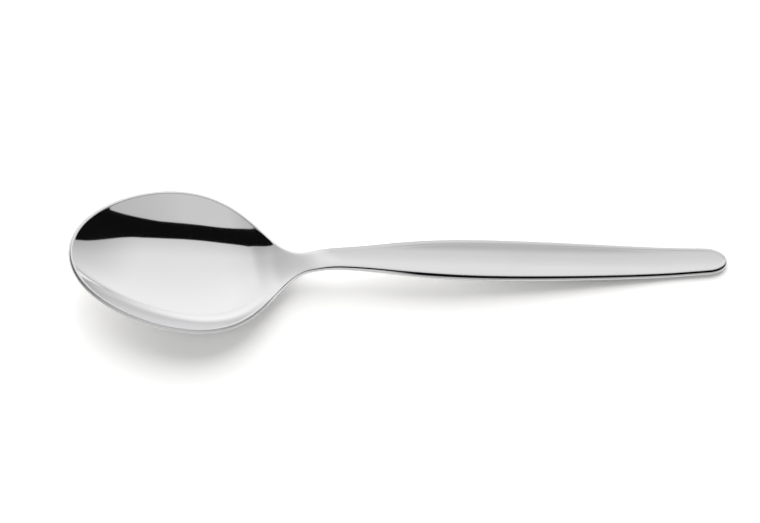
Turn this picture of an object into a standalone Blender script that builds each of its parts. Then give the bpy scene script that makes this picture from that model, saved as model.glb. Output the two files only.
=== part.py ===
"""Teaspoon: one sheet of polished stainless steel, blanked, rolled and pressed into bowl, neck and handle.

Metres, +Z up. X runs along the spoon, from the bowl's tip at -X to the handle's end at +X, and Y across it.
z = 0 is the table that the bowl's belly and the handle's end lie on, under the middle of the spoon's length.
A station is a distance along the spoon from the bowl's tip.
"""

import bmesh
import bpy
import numpy as np

LENGTH = 0.138

# Outline of the spoon seen from above. Its knots stand where it is widest or narrowest, and each radius is
# the outline's own at that knot.
TIP_RADIUS = 0.0093
BOWL_WIDTH = 0.0309
BOWL_WIDEST_AT = 0.0235
BOWL_SIDE_RADIUS = 0.0260
NECK_WIDTH = 0.0046
NECK_AT = 0.0484
NECK_FILLET_RADIUS = 0.0054
HANDLE_FLARE_RADIUS = 0.142
HANDLE_WIDTH = 0.0091
HANDLE_WIDEST_AT = 0.0863
HANDLE_SIDE_RADIUS = 0.289
END_WIDTH = 0.0060
END_TAPER = 0.049
END_TAPER_RUN = 0.0158
END_CAP_LENGTH = 0.0045

# Height of the sheet's back over the table, along the edges: it falls from the tip to the heel of the bowl,
# climbs to the crest of the neck and comes down to the flat land at the handle's end.
TIP_HEIGHT = 0.0104
TIP_SLOPE = 0.141
TIP_RUN = 0.0402
HEEL_HEIGHT = 0.00335
HEEL_AT = 0.0426
HEEL_RADIUS = 0.0077
CREST_HEIGHT = 0.0061
CREST_AT = 0.0535
CREST_RADIUS = 0.010
LAND_FROM = 0.1267
LAND_RADIUS = 0.039

# Bowl: how much steeper than a paraboloid its walls meet the rim, how slowly it grows shallow towards the
# neck, 1 for as fast as a paraboloid, and the stretch where the hollow runs out
WALL_FULLNESS = 1.3
HEEL_SHALLOWING = 0.70
HOLLOW_FADES_FROM = 0.0378
HOLLOW_ENDS_AT = 0.0496

# Thickness of the sheet at its edges, the radius that the handle's upper face is crowned to, and the depth of
# the rounded keel that stiffens the neck from below
BOWL_SHEET = 0.0010
BOWL_SHEET_ENDS_AT = 0.040
NECK_SHEET = 0.0012
HANDLE_SHEET = 0.0017
HANDLE_SHEET_FROM = 0.075
END_SHEET = 0.0015
CROWN_RADIUS = 0.020
KEEL_DEPTH = 0.0013

# Edges: how far in the edge of the sheet's faces lies, how far out from it the rounding runs, and the power
# that squares the rounding up, 2 for an ellipse
BOWL_EDGE_INSET = 0.00052
BOWL_EDGE_RUN = 0.00042
HANDLE_EDGE_RUN = 0.0016
END_EDGE_RUN = 0.0013
BOWL_EDGE_POWER = 3.2
HANDLE_EDGE_POWER = 2.0

# Facets: steps along each stretch of the outline, across each face of the sheet and round each edge
OUTLINE_STEPS = (22, 30, 22, 14, 10)
FACE_STEPS = 16
EDGE_STEPS = 12
DRAWING_STEPS = 400

CIRCLE_PULL = 0.5523
PULL_ROUNDS = 60
SLOPE_STEP = 0.00005
WELD = 1e-7
STEEL_COLOUR = (0.86, 0.86, 0.865, 1.0)
STEEL_ROUGHNESS = 0.08


def clear_scene():
    for thing in list(bpy.data.objects):
        bpy.data.objects.remove(thing, do_unlink=True)


def curve(start, start_pull, end_pull, end, steps):
    """Points and directions of a cubic Bezier curve."""
    a, b, c, d = (np.array(p) for p in (start, start_pull, end_pull, end))
    t = np.linspace(0.0, 1.0, steps + 1)[:, None]
    points = (1 - t) ** 3 * a + 3 * (1 - t) ** 2 * t * b + 3 * (1 - t) * t**2 * c + t**3 * d
    directions = (1 - t) ** 2 * (b - a) + 2 * (1 - t) * t * (c - b) + t**2 * (d - c)
    return points, directions / np.linalg.norm(directions, axis=1)[:, None]


def pull(rise, radius):
    """How far a level knot pulls along its tangent, for this radius there and this rise to the next knot."""
    return np.sqrt(2 / 3 * abs(rise) * radius)


def level_curve(start, start_radius, end, end_radius, steps):
    """The curve between two knots where the outline runs level, with its radius at each."""
    rise = end[1] - start[1]
    start_pull = (start[0] + pull(rise, start_radius), start[1])
    end_pull = (end[0] - pull(rise, end_radius), end[1])
    return curve(start, start_pull, end_pull, end, steps)


def joined(stretches):
    """One run of points and directions, with each knot between two stretches kept once."""
    points = [stretches[0][0]] + [p[1:] for p, _ in stretches[1:]]
    directions = [stretches[0][1]] + [d[1:] for _, d in stretches[1:]]
    return np.vstack(points), np.vstack(directions)


def tip_pulls():
    """Pulls of the bowl's front quarter, at the tip and at the widest point, that give it both radii."""
    half = BOWL_WIDTH / 2
    at_tip, at_side = half / 2, BOWL_WIDEST_AT / 2
    for _ in range(PULL_ROUNDS):
        at_tip = (at_tip + pull(BOWL_WIDEST_AT - at_side, TIP_RADIUS)) / 2
        at_side = (at_side + pull(half - at_tip, BOWL_SIDE_RADIUS)) / 2
    return at_tip, at_side


def outline(front_steps, back_steps, flare_steps, taper_steps, cap_steps):
    """Half the outline from tip to end, as (station, half width), and the directions along it."""
    tip, end = (0.0, 0.0), (LENGTH, 0.0)
    widest = (BOWL_WIDEST_AT, BOWL_WIDTH / 2)
    neck = (NECK_AT, NECK_WIDTH / 2)
    handle = (HANDLE_WIDEST_AT, HANDLE_WIDTH / 2)
    shoulder = (LENGTH - END_CAP_LENGTH, END_WIDTH / 2)
    at_tip, at_side = tip_pulls()
    front = curve(tip, (0.0, at_tip), (widest[0] - at_side, widest[1]), widest, front_steps)
    back = level_curve(widest, BOWL_SIDE_RADIUS, neck, NECK_FILLET_RADIUS, back_steps)
    flare = level_curve(neck, HANDLE_FLARE_RADIUS, handle, HANDLE_SIDE_RADIUS, flare_steps)
    before_shoulder = (shoulder[0] - END_TAPER_RUN, shoulder[1] + END_TAPER_RUN * END_TAPER)
    handle_pull = pull(handle[1] - before_shoulder[1], HANDLE_SIDE_RADIUS)
    taper = curve(handle, (handle[0] + handle_pull, handle[1]), before_shoulder, shoulder, taper_steps)
    cap_run = CIRCLE_PULL * END_CAP_LENGTH
    after_shoulder = (shoulder[0] + cap_run, shoulder[1] - cap_run * END_TAPER)
    cap = curve(shoulder, after_shoulder, (LENGTH, CIRCLE_PULL * shoulder[1]), end, cap_steps)
    return joined([front, back, flare, taper, cap])


def back_profile():
    """Side view of the sheet's back along its edges, as (station, height)."""
    heel, crest = (HEEL_AT, HEEL_HEIGHT), (CREST_AT, CREST_HEIGHT)
    tip_end = (TIP_RUN, TIP_HEIGHT - TIP_RUN * TIP_SLOPE)
    heel_start = (HEEL_AT - pull(tip_end[1] - HEEL_HEIGHT, HEEL_RADIUS), HEEL_HEIGHT)
    bowl = curve((0.0, TIP_HEIGHT), tip_end, heel_start, heel, DRAWING_STEPS)
    climb = level_curve(heel, HEEL_RADIUS, crest, CREST_RADIUS, DRAWING_STEPS)
    fall = level_curve(crest, CREST_RADIUS, (LAND_FROM, 0.0), LAND_RADIUS, DRAWING_STEPS)
    return np.vstack([joined([bowl, climb, fall])[0], [(LENGTH, 0.0)]])


def eased(stations, knots):
    """A value that eases from knot to knot, each knot (station, value), and keeps level beyond them."""
    value = np.full_like(stations, knots[0][1])
    for (start, low), (end, high) in zip(knots, knots[1:]):
        t = np.clip((stations - start) / (end - start), 0.0, 1.0)
        value = value + (high - low) * t * t * (3 - 2 * t)
    return value


def edge_radius(stations):
    """Half the sheet's thickness at its edges."""
    knots = [
        (BOWL_SHEET_ENDS_AT, BOWL_SHEET),
        (NECK_AT, NECK_SHEET),
        (HANDLE_SHEET_FROM, HANDLE_SHEET),
        (LAND_FROM, END_SHEET),
    ]
    return eased(stations, knots) / 2


def edge_inset(stations):
    """How far in from the outline the sheet's faces end: on the bowl's leaning wall, more than the edge's run."""
    knots = [(HEEL_AT, BOWL_EDGE_INSET), (CREST_AT, HANDLE_EDGE_RUN), (LAND_FROM, END_EDGE_RUN)]
    return eased(stations, knots)


def edge_run(stations):
    """How far out the rounding of the edge runs."""
    knots = [(HEEL_AT, BOWL_EDGE_RUN), (CREST_AT, HANDLE_EDGE_RUN), (LAND_FROM, END_EDGE_RUN)]
    return eased(stations, knots)


def edge_power(stations):
    """How square the edge is: 2 for an ellipse, more for a cut edge with small rounded corners."""
    return eased(stations, [(HEEL_AT, BOWL_EDGE_POWER), (CREST_AT, HANDLE_EDGE_POWER)])


def crown(stations, offsets, half_widths):
    """How far the neck's and the handle's upper face stands above a flat sheet."""
    arch = (half_widths**2 - offsets**2) / (2 * CROWN_RADIUS)
    return arch * eased(stations, [(HEEL_AT, 0.0), (CREST_AT, 1.0)])


def keel(stations, offsets, half_widths):
    """How far the neck's back bulges below a flat sheet."""
    across = 1 - (offsets / np.maximum(half_widths, WELD)) ** 2
    along = eased(stations, [(BOWL_SHEET_ENDS_AT, 0.0), (NECK_AT, 1.0), (HANDLE_WIDEST_AT, 0.0)])
    return KEEL_DEPTH * across * along


def sheet_edge(points, directions):
    """The line where the rounding of the sheet's edge starts, in from the outline."""
    outward = np.column_stack([-directions[:, 1], directions[:, 0]])
    edge = points - outward * edge_inset(points[:, 0])[:, None]
    edge[:, 1] = np.maximum(edge[:, 1], 0.0)
    return edge, outward


class Sheet:
    """The middle surface of the sheet, as a height over each station and offset across the spoon."""

    def __init__(self):
        edge, _ = sheet_edge(*outline(*[DRAWING_STEPS] * 5))
        self.edge_stations, self.edge_squares = edge[:, 0], edge[:, 1] ** 2
        self.profile = back_profile()
        self.widest_square = self.edge_squares[: 2 * DRAWING_STEPS].max()
        self.depth = self.depth_to_table()

    def edge_height(self, stations):
        return np.interp(stations, *self.profile.T) + edge_radius(stations)

    def hollow(self, stations, offsets):
        """The bowl's hollow as a share of its depth: 1 at its deepest, 0 at the rim and along the handle."""
        squares = np.interp(stations, self.edge_stations, self.edge_squares)
        narrowing = np.maximum(squares / self.widest_square, WELD)
        shallowing = np.where(stations > BOWL_WIDEST_AT, HEEL_SHALLOWING, 1.0)
        inside = (squares - offsets**2) / self.widest_square * narrowing ** (shallowing - 1)
        shape = WALL_FULLNESS * inside - (WALL_FULLNESS - 1) * inside**2
        return shape * eased(stations, [(HOLLOW_FADES_FROM, 1.0), (HOLLOW_ENDS_AT, 0.0)])

    def depth_to_table(self):
        """The depth at which the belly just reaches the table."""
        stations = np.linspace(BOWL_WIDEST_AT / 2, HEEL_AT, DRAWING_STEPS)
        hollow = self.hollow(stations, np.zeros_like(stations))
        return ((self.edge_height(stations) - edge_radius(stations)) / hollow).min()

    def height(self, stations, offsets):
        return self.edge_height(stations) - self.depth * self.hollow(stations, offsets)

    def normals(self, stations, offsets):
        inner = np.clip(stations, self.edge_stations[0] + SLOPE_STEP, self.edge_stations[-1] - SLOPE_STEP)
        along = self.height(inner + SLOPE_STEP, offsets) - self.height(inner - SLOPE_STEP, offsets)
        across = self.height(inner, offsets + SLOPE_STEP) - self.height(inner, offsets - SLOPE_STEP)
        facing = np.stack([-along, -across, np.full_like(along, 2 * SLOPE_STEP)], axis=-1)
        return facing / np.linalg.norm(facing, axis=-1, keepdims=True)


def skin(sheet):
    """The closed skin as a grid of points: one ring of the sheet's section at each station of the outline."""
    points, directions = outline(*OUTLINE_STEPS)
    edge, outward = sheet_edge(points, directions)
    radius = edge_radius(points[:, 0])[:, None, None]
    run = edge_run(points[:, 0])[:, None, None]
    across = np.linspace(-1.0, 1.0, FACE_STEPS + 1)
    stations = np.repeat(edge[:, :1], FACE_STEPS + 1, axis=1)
    offsets = edge[:, 1:] * across
    middle = np.stack([stations, offsets, sheet.height(stations, offsets)], axis=-1)
    normals = sheet.normals(stations, offsets)
    upper = middle + normals * (radius + crown(stations, offsets, edge[:, 1:])[..., None])
    lower = middle - normals * (radius + keel(stations, offsets, edge[:, 1:])[..., None])

    def rounded_edge(column, side):
        """The rounding from the upper face to the lower one, on the side where offsets have this sign."""
        normal = normals[:, column]
        out = np.column_stack([outward[:, 0], side * outward[:, 1], np.zeros(len(outward))])
        out = out - normal * (out * normal).sum(axis=1, keepdims=True)
        out = out / np.linalg.norm(out, axis=1, keepdims=True)
        turn = np.linspace(np.pi / 2, -np.pi / 2, EDGE_STEPS + 1)[None, 1:-1, None]
        power = 2 / edge_power(points[:, 0])[:, None, None]
        reach = run * np.cos(turn) ** power
        rise = radius * np.sign(np.sin(turn)) * np.abs(np.sin(turn)) ** power
        return middle[:, column][:, None] + reach * out[:, None] + rise * normal[:, None]

    right, left = rounded_edge(-1, 1.0), rounded_edge(0, -1.0)
    rings = np.concatenate([upper, right, lower[:, ::-1], left[:, ::-1], upper[:, :1]], axis=1)
    return rings - np.array([LENGTH / 2, 0.0, 0.0])


def steel():
    material = bpy.data.materials.new("polished_steel")
    material.use_nodes = True
    shader = material.node_tree.nodes["Principled BSDF"]
    shader.inputs["Base Color"].default_value = STEEL_COLOUR
    shader.inputs["Metallic"].default_value = 1.0
    shader.inputs["Roughness"].default_value = STEEL_ROUGHNESS
    return material


def teaspoon():
    """A flat grid wrapped round the spoon's rings, welded where they close and where they shrink to a point."""
    rings = skin(Sheet())
    long_steps, round_steps = rings.shape[0] - 1, rings.shape[1] - 1
    shape = bmesh.new()
    bmesh.ops.create_grid(shape, x_segments=long_steps, y_segments=round_steps, size=1.0)
    for vert in shape.verts:
        ring = round((vert.co.x + 1) / 2 * long_steps)
        step = round((vert.co.y + 1) / 2 * round_steps)
        vert.co = rings[ring, step]
    bmesh.ops.remove_doubles(shape, verts=shape.verts, dist=WELD)
    bmesh.ops.recalc_face_normals(shape, faces=shape.faces)
    mesh = bpy.data.meshes.new("teaspoon")
    shape.to_mesh(mesh)
    shape.free()
    mesh.shade_smooth()
    mesh.materials.append(steel())
    spoon = bpy.data.objects.new("teaspoon", mesh)
    bpy.context.scene.collection.objects.link(spoon)


clear_scene()
teaspoon()
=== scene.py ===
"""A polished steel teaspoon lying on a white table, in a grey tent with one broad soft lamp behind it.

Metres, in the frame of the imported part: X runs along the spoon from the bowl's tip to the handle's end,
Y across it, +Z up, and z = 0 is the table. A station is a distance along the spoon from the bowl's tip.
"""

import math

import bmesh
import bpy
import numpy as np
from mathutils import Matrix, Vector


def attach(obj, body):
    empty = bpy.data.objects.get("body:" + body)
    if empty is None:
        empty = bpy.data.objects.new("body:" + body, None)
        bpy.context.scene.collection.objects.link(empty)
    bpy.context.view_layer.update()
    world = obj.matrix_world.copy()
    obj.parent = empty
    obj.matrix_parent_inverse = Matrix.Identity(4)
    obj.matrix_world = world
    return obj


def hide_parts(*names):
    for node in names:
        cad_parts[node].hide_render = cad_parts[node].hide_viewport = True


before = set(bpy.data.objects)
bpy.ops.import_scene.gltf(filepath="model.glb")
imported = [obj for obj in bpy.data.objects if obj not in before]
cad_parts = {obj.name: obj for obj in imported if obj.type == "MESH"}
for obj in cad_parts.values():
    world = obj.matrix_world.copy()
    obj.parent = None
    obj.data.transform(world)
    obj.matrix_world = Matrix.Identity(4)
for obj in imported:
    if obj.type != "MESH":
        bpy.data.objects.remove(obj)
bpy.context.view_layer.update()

LENGTH = 0.138

# Outline of the spoon seen from above
TIP_RADIUS = 0.0093
BOWL_WIDTH = 0.0309
BOWL_WIDEST_AT = 0.0235
BOWL_SIDE_RADIUS = 0.0260
NECK_WIDTH = 0.0046
NECK_AT = 0.0484
NECK_FILLET_RADIUS = 0.0054
HANDLE_FLARE_RADIUS = 0.142
HANDLE_WIDTH = 0.0091
HANDLE_WIDEST_AT = 0.0863
HANDLE_SIDE_RADIUS = 0.289
END_WIDTH = 0.0060
END_TAPER = 0.049
END_TAPER_RUN = 0.0158
END_CAP_LENGTH = 0.0045

# Height of the sheet's back over the table, along the edges
TIP_HEIGHT = 0.0104
TIP_SLOPE = 0.141
TIP_RUN = 0.0402
HEEL_HEIGHT = 0.00335
HEEL_AT = 0.0426
HEEL_RADIUS = 0.0077
CREST_HEIGHT = 0.0061
CREST_AT = 0.0535
CREST_RADIUS = 0.010
LAND_FROM = 0.1267
LAND_RADIUS = 0.039

# Bowl: how much steeper than a paraboloid its walls meet the rim, how slowly it grows shallow towards the
# neck, 1 for as fast as a paraboloid, and the stretch where the hollow runs out
WALL_FULLNESS = 1.3
HEEL_SHALLOWING = 0.70
HOLLOW_FADES_FROM = 0.0378
HOLLOW_ENDS_AT = 0.0496

# Thickness of the sheet at its edges, the radius that the handle's upper face is crowned to, and the depth of
# the rounded keel that stiffens the neck from below
BOWL_SHEET = 0.0010
BOWL_SHEET_ENDS_AT = 0.040
NECK_SHEET = 0.0012
HANDLE_SHEET = 0.0017
HANDLE_SHEET_FROM = 0.075
END_SHEET = 0.0015
CROWN_RADIUS = 0.020
KEEL_DEPTH = 0.0013

# Edges: how far in the edge of the sheet's faces lies, how far out from it the rounding runs, and the power
# that squares the rounding up, 2 for an ellipse
BOWL_EDGE_INSET = 0.00052
BOWL_EDGE_RUN = 0.00042
HANDLE_EDGE_RUN = 0.0016
END_EDGE_RUN = 0.0013
BOWL_EDGE_POWER = 3.2
HANDLE_EDGE_POWER = 2.0

# Fine enough for a mirror finish: steps along each stretch of the outline, across each face and round
# each edge
OUTLINE_STEPS = (60, 72, 60, 48, 24)
FACE_STEPS = 48
EDGE_STEPS = 16
DRAWING_STEPS = 2000
CIRCLE_PULL = 0.5523
PULL_ROUNDS = 60
SLOPE_STEP = 0.00005
WELD = 1e-7

# Camera, as degrees round the table from -Y and above it, and the turn of the picture
CAMERA_ROUND = -31.05
CAMERA_ABOVE = 60.19
CAMERA_TURN = 25.98
CAMERA_AWAY = 0.5854
CAMERA_AIM = (-0.0057, 0.0005, 0.004)
CAMERA_LENS = 139.46
CAMERA_SENSOR = 36.0
CAMERA_NEAREST = 0.01

BLACK = (0.0, 0.0, 0.0, 1.0)
WHITE = (1.0, 1.0, 1.0, 1.0)

# Steel: its tint, and the one that the polishing lines and finger marks pull it towards
STEEL_TINT = (0.905, 0.905, 0.91, 1.0)
MARKED_TINT = (0.875, 0.876, 0.884, 1.0)

# Grains a metre, along the spoon, across it and upwards, and how deep the polishing lines are
LINES_GRAIN = (90.0, 2600.0, 2600.0)
HAIRLINES_GRAIN = (40.0, 9000.0, 9000.0)
MARKS_GRAIN = (75.0, 110.0, 110.0)
LINES_DEPTH = 0.000006
LINES_STRENGTH = 0.1

# Roughness of the bowl, and what the handle, the marks, the hairlines and the bowl's cut edge add to it, the
# edge less at the tip; and the x between which the handle's softer polish and the rougher edge set in
BOWL_ROUGHNESS = 0.05
HANDLE_ROUGHER = 0.06
MARKS_ROUGHER = 0.03
HAIRLINES_ROUGHER = 0.03
TIP_EDGE_ROUGHER = 0.16
SIDE_EDGE_ROUGHER = 0.2
HANDLE_POLISH = (-0.032, 0.002)
SIDE_EDGE = (-0.0685, -0.066)

# Table: its size, how far under the spoon's rest it lies, so that the two are never in one plane, its paint,
# how far from the middle it turns plain white, its glow, the reach of the painted contact shadow that dims
# the glow, and the painted shade by which the steel mirrors it dimmer than it looks, with more of that far
# away
TABLE_HALF_SIZE = 2.0
TABLE_DROP = 0.00002
TABLE_PAINT = (0.905, 0.9, 0.888, 1.0)
TABLE_TURNS_WHITE = (0.16, 0.45)
TABLE_GLOW = 0.2
PAINTED_SHADOW_REACH = 0.004
MIRRORED_DIMMER = 0.3
FAR_DIMMER = 0.25

# Tent, 1 for white: its back wall beside the gap, its front wall, the gap, what lights the gap's foot, and
# the light that all but mirrors get from it
TENT_BACK = 0.65
TENT_FRONT = 0.64
TENT_GAP = 0.004
TENT_GAP_FOOT = 0.6
TENT_FILL = 0.40

# Flags beside the handle: the middle of the far one, and how far they slant outwards for each metre along
FLAG_HALF_SIZE = 0.3
FLAG_AT = (0.2478, 0.1374, 0.3)
FLAG_SLANT = 0.5

LAMP_SIZE = 2.8
LAMP_POWER = 54.0
LAMP_AT = (-0.30, 1.20, 1.00)


def curve(start, start_pull, end_pull, end, steps):
    """Points and directions of a cubic Bezier curve."""
    a, b, c, d = (np.array(p) for p in (start, start_pull, end_pull, end))
    t = np.linspace(0.0, 1.0, steps + 1)[:, None]
    points = (1 - t) ** 3 * a + 3 * (1 - t) ** 2 * t * b + 3 * (1 - t) * t**2 * c + t**3 * d
    directions = (1 - t) ** 2 * (b - a) + 2 * (1 - t) * t * (c - b) + t**2 * (d - c)
    return points, directions / np.linalg.norm(directions, axis=1)[:, None]


def pull(rise, radius):
    """How far a level knot pulls along its tangent, for this radius there and this rise to the next knot."""
    return np.sqrt(2 / 3 * abs(rise) * radius)


def level_curve(start, start_radius, end, end_radius, steps):
    """The curve between two knots where the outline runs level, with its radius at each."""
    rise = end[1] - start[1]
    start_pull = (start[0] + pull(rise, start_radius), start[1])
    end_pull = (end[0] - pull(rise, end_radius), end[1])
    return curve(start, start_pull, end_pull, end, steps)


def joined(stretches):
    """One run of points and directions, with each knot between two stretches kept once."""
    points = [stretches[0][0]] + [p[1:] for p, _ in stretches[1:]]
    directions = [stretches[0][1]] + [d[1:] for _, d in stretches[1:]]
    return np.vstack(points), np.vstack(directions)


def tip_pulls():
    """Pulls of the bowl's front quarter, at the tip and at the widest point, that give it both radii."""
    half = BOWL_WIDTH / 2
    at_tip, at_side = half / 2, BOWL_WIDEST_AT / 2
    for _ in range(PULL_ROUNDS):
        at_tip = (at_tip + pull(BOWL_WIDEST_AT - at_side, TIP_RADIUS)) / 2
        at_side = (at_side + pull(half - at_tip, BOWL_SIDE_RADIUS)) / 2
    return at_tip, at_side


def outline(front_steps, back_steps, flare_steps, taper_steps, cap_steps):
    """Half the outline from tip to end, as (station, half width), and the directions along it."""
    tip, end = (0.0, 0.0), (LENGTH, 0.0)
    widest = (BOWL_WIDEST_AT, BOWL_WIDTH / 2)
    neck = (NECK_AT, NECK_WIDTH / 2)
    handle = (HANDLE_WIDEST_AT, HANDLE_WIDTH / 2)
    shoulder = (LENGTH - END_CAP_LENGTH, END_WIDTH / 2)
    at_tip, at_side = tip_pulls()
    front = curve(tip, (0.0, at_tip), (widest[0] - at_side, widest[1]), widest, front_steps)
    back = level_curve(widest, BOWL_SIDE_RADIUS, neck, NECK_FILLET_RADIUS, back_steps)
    flare = level_curve(neck, HANDLE_FLARE_RADIUS, handle, HANDLE_SIDE_RADIUS, flare_steps)
    before_shoulder = (shoulder[0] - END_TAPER_RUN, shoulder[1] + END_TAPER_RUN * END_TAPER)
    handle_pull = pull(handle[1] - before_shoulder[1], HANDLE_SIDE_RADIUS)
    taper = curve(handle, (handle[0] + handle_pull, handle[1]), before_shoulder, shoulder, taper_steps)
    cap_run = CIRCLE_PULL * END_CAP_LENGTH
    after_shoulder = (shoulder[0] + cap_run, shoulder[1] - cap_run * END_TAPER)
    cap = curve(shoulder, after_shoulder, (LENGTH, CIRCLE_PULL * shoulder[1]), end, cap_steps)
    return joined([front, back, flare, taper, cap])


def back_profile():
    """Side view of the sheet's back along its edges, as (station, height)."""
    heel, crest = (HEEL_AT, HEEL_HEIGHT), (CREST_AT, CREST_HEIGHT)
    tip_end = (TIP_RUN, TIP_HEIGHT - TIP_RUN * TIP_SLOPE)
    heel_start = (HEEL_AT - pull(tip_end[1] - HEEL_HEIGHT, HEEL_RADIUS), HEEL_HEIGHT)
    bowl = curve((0.0, TIP_HEIGHT), tip_end, heel_start, heel, DRAWING_STEPS)
    climb = level_curve(heel, HEEL_RADIUS, crest, CREST_RADIUS, DRAWING_STEPS)
    fall = level_curve(crest, CREST_RADIUS, (LAND_FROM, 0.0), LAND_RADIUS, DRAWING_STEPS)
    return np.vstack([joined([bowl, climb, fall])[0], [(LENGTH, 0.0)]])


def eased(stations, knots):
    """A value that eases from knot to knot, each knot (station, value), and keeps level beyond them."""
    value = np.full_like(stations, knots[0][1])
    for (start, low), (end, high) in zip(knots, knots[1:]):
        t = np.clip((stations - start) / (end - start), 0.0, 1.0)
        value = value + (high - low) * t * t * (3 - 2 * t)
    return value


def edge_radius(stations):
    """Half the sheet's thickness at its edges."""
    knots = [
        (BOWL_SHEET_ENDS_AT, BOWL_SHEET),
        (NECK_AT, NECK_SHEET),
        (HANDLE_SHEET_FROM, HANDLE_SHEET),
        (LAND_FROM, END_SHEET),
    ]
    return eased(stations, knots) / 2


def edge_inset(stations):
    """How far in from the outline the sheet's faces end: more than the edge's run on the bowl's wall."""
    knots = [(HEEL_AT, BOWL_EDGE_INSET), (CREST_AT, HANDLE_EDGE_RUN), (LAND_FROM, END_EDGE_RUN)]
    return eased(stations, knots)


def edge_run(stations):
    """How far out the rounding of the edge runs."""
    knots = [(HEEL_AT, BOWL_EDGE_RUN), (CREST_AT, HANDLE_EDGE_RUN), (LAND_FROM, END_EDGE_RUN)]
    return eased(stations, knots)


def edge_power(stations):
    """How square the edge is: 2 for an ellipse, more for a cut edge with small rounded corners."""
    return eased(stations, [(HEEL_AT, BOWL_EDGE_POWER), (CREST_AT, HANDLE_EDGE_POWER)])


def crown(stations, offsets, half_widths):
    """How far the neck's and the handle's upper face stands above a flat sheet."""
    arch = (half_widths**2 - offsets**2) / (2 * CROWN_RADIUS)
    return arch * eased(stations, [(HEEL_AT, 0.0), (CREST_AT, 1.0)])


def keel(stations, offsets, half_widths):
    """How far the neck's back bulges below a flat sheet."""
    across = 1 - (offsets / np.maximum(half_widths, WELD)) ** 2
    along = eased(stations, [(BOWL_SHEET_ENDS_AT, 0.0), (NECK_AT, 1.0), (HANDLE_WIDEST_AT, 0.0)])
    return KEEL_DEPTH * across * along


def sheet_edge(points, directions):
    """The line where the rounding of the sheet's edge starts, in from the outline."""
    outward = np.column_stack([-directions[:, 1], directions[:, 0]])
    edge = points - outward * edge_inset(points[:, 0])[:, None]
    edge[:, 1] = np.maximum(edge[:, 1], 0.0)
    return edge, outward


class Sheet:
    """The middle surface of the sheet, as a height over each station and offset across the spoon."""

    def __init__(self):
        edge, _ = sheet_edge(*outline(*[DRAWING_STEPS] * 5))
        self.edge_stations, self.edge_squares = edge[:, 0], edge[:, 1] ** 2
        self.profile = back_profile()
        self.widest_square = self.edge_squares[: 2 * DRAWING_STEPS].max()
        self.depth = self.depth_to_table()

    def edge_height(self, stations):
        return np.interp(stations, *self.profile.T) + edge_radius(stations)

    def hollow(self, stations, offsets):
        """The bowl's hollow as a share of its depth: 1 at its deepest, 0 at the rim and along the handle."""
        squares = np.interp(stations, self.edge_stations, self.edge_squares)
        narrowing = np.maximum(squares / self.widest_square, WELD)
        shallowing = np.where(stations > BOWL_WIDEST_AT, HEEL_SHALLOWING, 1.0)
        inside = (squares - offsets**2) / self.widest_square * narrowing ** (shallowing - 1)
        shape = WALL_FULLNESS * inside - (WALL_FULLNESS - 1) * inside**2
        return shape * eased(stations, [(HOLLOW_FADES_FROM, 1.0), (HOLLOW_ENDS_AT, 0.0)])

    def depth_to_table(self):
        """The depth at which the belly just reaches the table."""
        stations = np.linspace(BOWL_WIDEST_AT / 2, HEEL_AT, DRAWING_STEPS)
        hollow = self.hollow(stations, np.zeros_like(stations))
        return ((self.edge_height(stations) - edge_radius(stations)) / hollow).min()

    def height(self, stations, offsets):
        return self.edge_height(stations) - self.depth * self.hollow(stations, offsets)

    def normals(self, stations, offsets):
        inner = np.clip(stations, self.edge_stations[0] + SLOPE_STEP, self.edge_stations[-1] - SLOPE_STEP)
        along = self.height(inner + SLOPE_STEP, offsets) - self.height(inner - SLOPE_STEP, offsets)
        across = self.height(inner, offsets + SLOPE_STEP) - self.height(inner, offsets - SLOPE_STEP)
        facing = np.stack([-along, -across, np.full_like(along, 2 * SLOPE_STEP)], axis=-1)
        return facing / np.linalg.norm(facing, axis=-1, keepdims=True)


def skin(sheet):
    """The closed skin as a grid of points: one ring of the sheet's section at each station of the outline."""
    points, directions = outline(*OUTLINE_STEPS)
    edge, outward = sheet_edge(points, directions)
    radius = edge_radius(points[:, 0])[:, None, None]
    run = edge_run(points[:, 0])[:, None, None]
    across = np.linspace(-1.0, 1.0, FACE_STEPS + 1)
    stations = np.repeat(edge[:, :1], FACE_STEPS + 1, axis=1)
    offsets = edge[:, 1:] * across
    middle = np.stack([stations, offsets, sheet.height(stations, offsets)], axis=-1)
    normals = sheet.normals(stations, offsets)
    upper = middle + normals * (radius + crown(stations, offsets, edge[:, 1:])[..., None])
    lower = middle - normals * (radius + keel(stations, offsets, edge[:, 1:])[..., None])

    def rounded_edge(column, side):
        """The rounding from the upper face to the lower one, on the side where offsets have this sign."""
        normal = normals[:, column]
        out = np.column_stack([outward[:, 0], side * outward[:, 1], np.zeros(len(outward))])
        out = out - normal * (out * normal).sum(axis=1, keepdims=True)
        out = out / np.linalg.norm(out, axis=1, keepdims=True)
        turn = np.linspace(np.pi / 2, -np.pi / 2, EDGE_STEPS + 1)[None, 1:-1, None]
        power = 2 / edge_power(points[:, 0])[:, None, None]
        reach = run * np.cos(turn) ** power
        rise = radius * np.sign(np.sin(turn)) * np.abs(np.sin(turn)) ** power
        return middle[:, column][:, None] + reach * out[:, None] + rise * normal[:, None]

    right, left = rounded_edge(-1, 1.0), rounded_edge(0, -1.0)
    rings = np.concatenate([upper, right, lower[:, ::-1], left[:, ::-1], upper[:, :1]], axis=1)
    return rings - np.array([LENGTH / 2, 0.0, 0.0])


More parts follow.
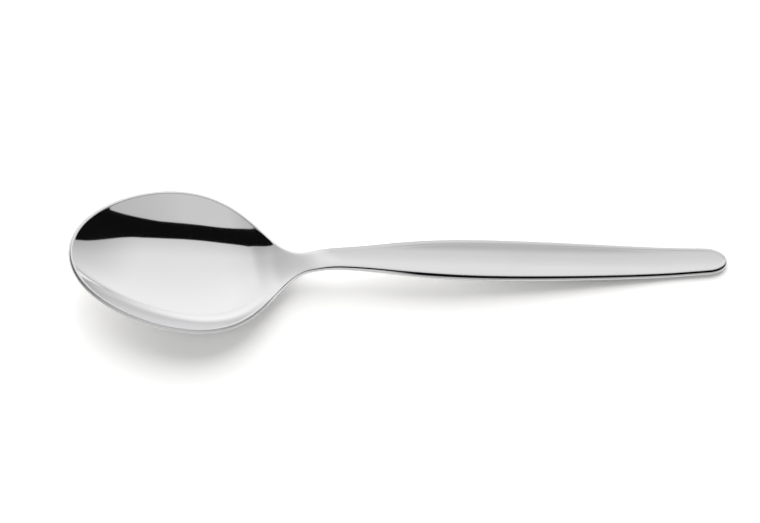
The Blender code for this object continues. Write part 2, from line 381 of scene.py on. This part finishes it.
class Value:
    """A node's output. Arithmetic on it adds Math nodes."""

    def __init__(self, nodes, socket):
        self.nodes = nodes
        self.socket = socket

    def maths(self, operation, first, second):
        return self.nodes.add("ShaderNodeMath", {"operation": operation}, {0: first, 1: second})

    def __add__(self, other):
        return self.maths("ADD", self, other)

    def __radd__(self, other):
        return self.maths("ADD", other, self)

    def __sub__(self, other):
        return self.maths("SUBTRACT", self, other)

    def __rsub__(self, other):
        return self.maths("SUBTRACT", other, self)

    def __mul__(self, other):
        return self.maths("MULTIPLY", self, other)

    def __rmul__(self, other):
        return self.maths("MULTIPLY", other, self)

    def __truediv__(self, other):
        return self.maths("DIVIDE", self, other)

    def __rtruediv__(self, other):
        return self.maths("DIVIDE", other, self)

    def at_least(self, other):
        return self.maths("MAXIMUM", self, other)

    def at_most(self, other):
        return self.maths("MINIMUM", self, other)

    def rising(self, start, end):
        """0 before start, 1 after end, and eased between them."""
        return self.nodes.add(
            "ShaderNodeMapRange",
            {"interpolation_type": "SMOOTHSTEP"},
            {"Value": self, "From Min": start, "From Max": end},
        )


class Nodes:
    """The nodes of one material or of the studio's light."""

    def __init__(self, owner):
        owner.use_nodes = True
        self.tree = owner.node_tree
        self.tree.nodes.clear()

    def add(self, kind, settings=None, sockets=None, output=0):
        """A node with its settings and its sockets' values or links, as the Value of one of its outputs."""
        node = self.tree.nodes.new(kind)
        for name, value in (settings or {}).items():
            setattr(node, name, value)
        for name, value in (sockets or {}).items():
            if isinstance(value, Value):
                self.tree.links.new(value.socket, node.inputs[name])
            else:
                node.inputs[name].default_value = value
        return Value(self, node.outputs[output] if len(node.outputs) else None)

    def also(self, value, output):
        """Another output of the node that a value comes from."""
        return Value(self, value.socket.node.outputs[output])


def finished(name, shape, material):
    """The shape as an object of this material, put into the scene."""
    mesh = bpy.data.meshes.new(name)
    shape.to_mesh(mesh)
    shape.free()
    mesh.materials.append(material)
    piece = bpy.data.objects.new(name, mesh)
    bpy.context.scene.collection.objects.link(piece)
    return piece


def polished_steel():
    """Mirror polish in the bowl, softer along the handle, with polishing lines and faint finger marks."""
    material = bpy.data.materials.new("polished_steel")
    nodes = Nodes(material)
    place = nodes.add("ShaderNodeTexCoord", output="Object")
    x = nodes.add("ShaderNodeSeparateXYZ", {}, {0: place}, "X")

    def noise(grain, detail):
        """Noise between 0 and 1, with this many grains a metre along each axis."""
        spot = nodes.add("ShaderNodeVectorMath", {"operation": "MULTIPLY"}, {0: place, 1: grain})
        return nodes.add("ShaderNodeTexNoise", {}, {"Vector": spot, "Scale": 1.0, "Detail": detail})

    lines = noise(LINES_GRAIN, 2.0)
    hairlines = noise(HAIRLINES_GRAIN, 1.0)
    marks = noise(MARKS_GRAIN, 4.0).rising(0.5, 0.72)
    handle = x.rising(*HANDLE_POLISH)
    rim = nodes.add("ShaderNodeAttribute", {"attribute_name": "rim"}, output="Fac")
    fine = hairlines.rising(0.55, 0.8) * (0.3 + 0.7 * handle)
    cut_edge = rim * (TIP_EDGE_ROUGHER + SIDE_EDGE_ROUGHER * x.rising(*SIDE_EDGE))
    polish = BOWL_ROUGHNESS + HANDLE_ROUGHER * handle
    roughness = polish + MARKS_ROUGHER * marks + HAIRLINES_ROUGHER * fine + cut_edge
    tint = nodes.add(
        "ShaderNodeMix",
        {"data_type": "RGBA"},
        {0: 0.25 * lines + 0.5 * marks, 6: STEEL_TINT, 7: MARKED_TINT},
        2,
    )
    grain = nodes.add(
        "ShaderNodeBump", {}, {"Strength": LINES_STRENGTH, "Distance": LINES_DEPTH, "Height": lines}
    )
    shader = nodes.add(
        "ShaderNodeBsdfPrincipled",
        {},
        {"Base Color": tint, "Metallic": 1.0, "Roughness": roughness, "Normal": grain},
    )
    nodes.add("ShaderNodeOutputMaterial", {}, {"Surface": shader})
    return material


def teaspoon():
    """A flat grid wrapped round the spoon's rings, welded where they close and where they end in a point."""
    rings = skin(Sheet())
    long_steps, round_steps = rings.shape[0] - 1, rings.shape[1] - 1
    shape = bmesh.new()
    bmesh.ops.create_grid(shape, x_segments=long_steps, y_segments=round_steps, size=1.0)
    rim = shape.verts.layers.float.new("rim")
    bowl = eased(outline(*OUTLINE_STEPS)[0][:, 0], [(HOLLOW_FADES_FROM, 1.0), (HEEL_AT, 0.0)])
    for vert in shape.verts:
        ring = round((vert.co.x + 1) / 2 * long_steps)
        step = round((vert.co.y + 1) / 2 * round_steps)
        vert.co = rings[ring, step]
        on_face = step % (FACE_STEPS + EDGE_STEPS) <= FACE_STEPS
        vert[rim] = 0.0 if on_face else bowl[ring]
    bmesh.ops.remove_doubles(shape, verts=shape.verts, dist=WELD)
    bmesh.ops.recalc_face_normals(shape, faces=shape.faces)
    spoon = finished("polished_teaspoon", shape, polished_steel())
    spoon.data.shade_smooth()
    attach(spoon, "root")
    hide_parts("teaspoon")


def white_table():
    """White paper that glows a little, with a painted contact shadow near the spoon, and is clear from below.
    """
    material = bpy.data.materials.new("white_table")
    nodes = Nodes(material)
    camera_ray = nodes.add("ShaderNodeLightPath", output="Is Camera Ray")
    mirrored = nodes.also(camera_ray, "Is Glossy Ray")
    seen = (camera_ray + mirrored + nodes.also(camera_ray, "Is Transmission Ray")).at_most(1.0)
    place = nodes.add("ShaderNodeTexCoord", output="Object")
    away = nodes.add("ShaderNodeVectorMath", {"operation": "LENGTH"}, {0: place}, "Value")
    far = away.rising(*TABLE_TURNS_WHITE)
    paint = nodes.add("ShaderNodeBsdfDiffuse", {}, {"Color": TABLE_PAINT})
    # Painted contact shadow: the glow fades where the spoon, or anything else, comes within reach
    painted_contact_shadow = nodes.add("ShaderNodeAmbientOcclusion", {"samples": 8}, {"Distance": PAINTED_SHADOW_REACH}, "AO")
    glow = nodes.add("ShaderNodeEmission", {}, {"Color": painted_contact_shadow, "Strength": seen * TABLE_GLOW})
    lit = nodes.add("ShaderNodeAddShader", {}, {0: paint, 1: glow})
    white = nodes.add("ShaderNodeEmission", {}, {"Strength": seen})
    open_table = nodes.add("ShaderNodeMixShader", {}, {0: far, 1: lit, 2: white})
    shade = nodes.add("ShaderNodeBsdfDiffuse", {}, {"Color": BLACK})
    # Painted shade: the steel mirrors the table darker than it looks, and more so far away
    dimmed = mirrored * (MIRRORED_DIMMER + FAR_DIMMER * far)
    top = nodes.add("ShaderNodeMixShader", {}, {0: dimmed, 1: open_table, 2: shade})
    underneath = nodes.add("ShaderNodeNewGeometry", output="Backfacing")
    clear = nodes.add("ShaderNodeBsdfTransparent")
    surface = nodes.add("ShaderNodeMixShader", {}, {0: underneath, 1: top, 2: clear})
    nodes.add("ShaderNodeOutputMaterial", {}, {"Surface": surface})
    shape = bmesh.new()
    below = Matrix.Translation((0.0, 0.0, -TABLE_DROP))
    bmesh.ops.create_grid(shape, x_segments=1, y_segments=1, size=TABLE_HALF_SIZE, matrix=below)
    table = finished("table", shape, material)


def grey_tent():
    """The studio round the spoon: a tent of graded greys, with a dark gap across it.

    It is drawn by the direction seen from the spoon: x towards the handle's end, y to the back and z up.
    """
    world = bpy.data.worlds.new("grey_tent")
    bpy.context.scene.world = world
    nodes = Nodes(world)
    direction = nodes.add("ShaderNodeTexCoord", output="Generated")
    x = nodes.add("ShaderNodeSeparateXYZ", {}, {0: direction}, "X")
    y, z = nodes.also(x, "Y"), nodes.also(x, "Z")
    camera_ray = nodes.add("ShaderNodeLightPath", output="Is Camera Ray")
    mirrored = nodes.also(camera_ray, "Is Glossy Ray")

    # 1 for light that the steel mirrors at least twice, and at least three times
    mirrors = nodes.also(camera_ray, "Glossy Depth")
    by_two = (mirrors - 1).at_least(0.0).at_most(1.0)
    by_three = (mirrors - 2).at_least(0.0).at_most(1.0)

    # The back wall: brighter away from the gap, whose far edge slants and bends in the right-hand corner, and
    # darker to the left, to the right and low down at the back
    corner = (x - 0.74).at_least(0.0)
    behind = y - 0.2 * x.at_least(-0.42) - 4.4 * corner * corner
    back = TENT_BACK + 0.17 * behind.rising(-0.3, 0.12) + 0.15 * behind.rising(0.0, 1.0)
    left_half = 1 - x.rising(-0.4, 0.15)
    left = 1 - 0.09 * left_half - 0.27 * (1 - x.rising(-0.6, -0.25)) * (1 - by_two)
    right = 1 - 0.32 * x.rising(0.66, 1.02)
    horizon = 1 - 0.25 * (1 - z.rising(0.0, 0.09)) * y.rising(0.5, 0.8)

    # The front wall: darker to both sides and low down
    front = TENT_FRONT - 0.115 * x.rising(0.3, 0.9) - 0.115 * (1 - x.rising(-0.6, -0.2))
    front = front * (0.45 + 0.55 * z.rising(0.08, 0.25))

    # The gap between them, lit at its foot
    past_gap = behind.rising(-0.257, -0.24)
    before_gap = 1 - (y - 0.2 * x.at_most(0.6)).rising(-0.57, -0.558)
    gap = TENT_GAP + TENT_GAP_FOOT * (1 - z.rising(0.1, 0.22))
    light = back * left * right * horizon * past_gap + front * before_gap
    light = light + gap * (1 - past_gap) * (1 - before_gap)

    # Dark at the far left, for the line on the rim at the bowl's tip
    light = light * (0.12 + 0.88 * x.rising(-0.92, -0.7))

    # What is mirrored twice is brighter high up and darker low down, for the crescent on the bowl's near wall
    height = z + 0.12 * left_half + 0.12 * x.rising(0.68, 0.82)
    light = light * (1 + (by_two - by_three) * (0.54 * height.rising(0.5, 0.95) - 0.24))

    seen = camera_ray + mirrored * light + (1 - camera_ray - mirrored) * TENT_FILL
    surface = nodes.add("ShaderNodeBackground", {}, {"Color": WHITE, "Strength": seen})
    nodes.add("ShaderNodeOutputWorld", {}, {"Surface": surface})


def flag(name, side, shade):
    """A black net beside the handle, out of the picture, that shades what this side of the handle reflects.

    It slants away from the handle, so that the bowl only ever sees its back and looks straight through it.
    """
    material = bpy.data.materials.new(name)
    nodes = Nodes(material)
    place = nodes.add("ShaderNodeTexCoord", output="Object")
    x = nodes.add("ShaderNodeSeparateXYZ", {}, {0: place}, "X")
    front = 1 - nodes.add("ShaderNodeNewGeometry", output="Backfacing")
    clear = nodes.add("ShaderNodeBsdfTransparent")
    black = nodes.add("ShaderNodeBsdfDiffuse", {}, {"Color": BLACK})
    net = front * shade(x, nodes.also(x, "Z"))
    surface = nodes.add("ShaderNodeMixShader", {}, {0: net, 1: clear, 2: black})
    nodes.add("ShaderNodeOutputMaterial", {}, {"Surface": surface})
    along, across, up = FLAG_AT
    middle = Matrix.Translation((along, side * across, up))
    askew = Matrix.Rotation(side * math.atan(FLAG_SLANT), 4, "Z")
    upright = Matrix.Rotation(side * math.pi / 2, 4, "X")
    stand = middle @ askew @ upright
    shape = bmesh.new()
    bmesh.ops.create_grid(shape, x_segments=1, y_segments=1, size=FLAG_HALF_SIZE, matrix=stand)
    card = finished(name, shape, material)
    card.visible_camera = False
    card.visible_diffuse = False
    card.visible_shadow = False


def far_shade(x, z):
    """The far flag: sheer all over, and doubled where it is folded."""
    # How steeply the handle's edge looks up at each place on the net
    steepness = (z - 0.0071 + 0.05 * x) / (0.0115 + FLAG_SLANT * x)
    sheer = 0.25 * (1 - steepness.rising(0.8, 3.8)) * x.rising(-0.0205, -0.015)
    folded = 0.2 * steepness.rising(0.25, 1.1) * (1 - steepness.rising(1.0, 1.5))
    return sheer + folded * x.rising(-0.008, 0.015) * (1 - 0.8 * x.rising(0.085, 0.118))


def near_shade(x, z):
    """The near flag: a solid strip, which gives the handle its dark lower edge, over sheer net."""
    # How steeply the handle's edge looks up at each place on the net
    steepness = (z - 0.005) / (0.0098 + FLAG_SLANT * x)
    strip = 0.25 + 0.75 * steepness.rising(0.65, 0.85)
    return strip * (1 - steepness.rising(2.4, 3.0)) * x.rising(-0.004, 0.008)


def overhead_lamp():
    """A broad soft lamp above the table and behind the spoon. The steel reflects the tent in its place."""
    lamp = bpy.data.lights.new("overhead_lamp", "AREA")
    lamp.shape = "DISK"
    lamp.size = LAMP_SIZE
    lamp.energy = LAMP_POWER
    holder = bpy.data.objects.new("overhead_lamp", lamp)
    holder.location = LAMP_AT
    holder.rotation_euler = holder.location.to_track_quat("Z", "Y").to_euler()
    holder.visible_glossy = False
    holder.visible_camera = False
    bpy.context.scene.collection.objects.link(holder)


def camera():
    """The camera, looking down at the spoon, with the picture turned so that the handle lies level in it."""
    lens = bpy.data.cameras.new("camera")
    lens.lens = CAMERA_LENS
    lens.sensor_width = CAMERA_SENSOR
    lens.sensor_fit = "HORIZONTAL"
    lens.clip_start = CAMERA_NEAREST
    around, above = math.radians(CAMERA_ROUND), math.radians(CAMERA_ABOVE)
    back = Vector(
        (math.sin(around) * math.cos(above), -math.cos(around) * math.cos(above), math.sin(above))
    )
    stand = bpy.data.objects.new("camera", lens)
    place = Matrix.Translation(Vector(CAMERA_AIM) + CAMERA_AWAY * back)
    aim = back.to_track_quat("Z", "Y").to_matrix().to_4x4()
    stand.matrix_world = place @ aim @ Matrix.Rotation(math.radians(CAMERA_TURN), 4, "Z")
    bpy.context.scene.collection.objects.link(stand)
    bpy.context.scene.camera = stand


camera()
grey_tent()
flag("far_flag", 1, far_shade)
flag("near_flag", -1, near_shade)
overhead_lamp()
white_table()
teaspoon()
bpy.context.scene.view_settings.view_transform = "Standard"
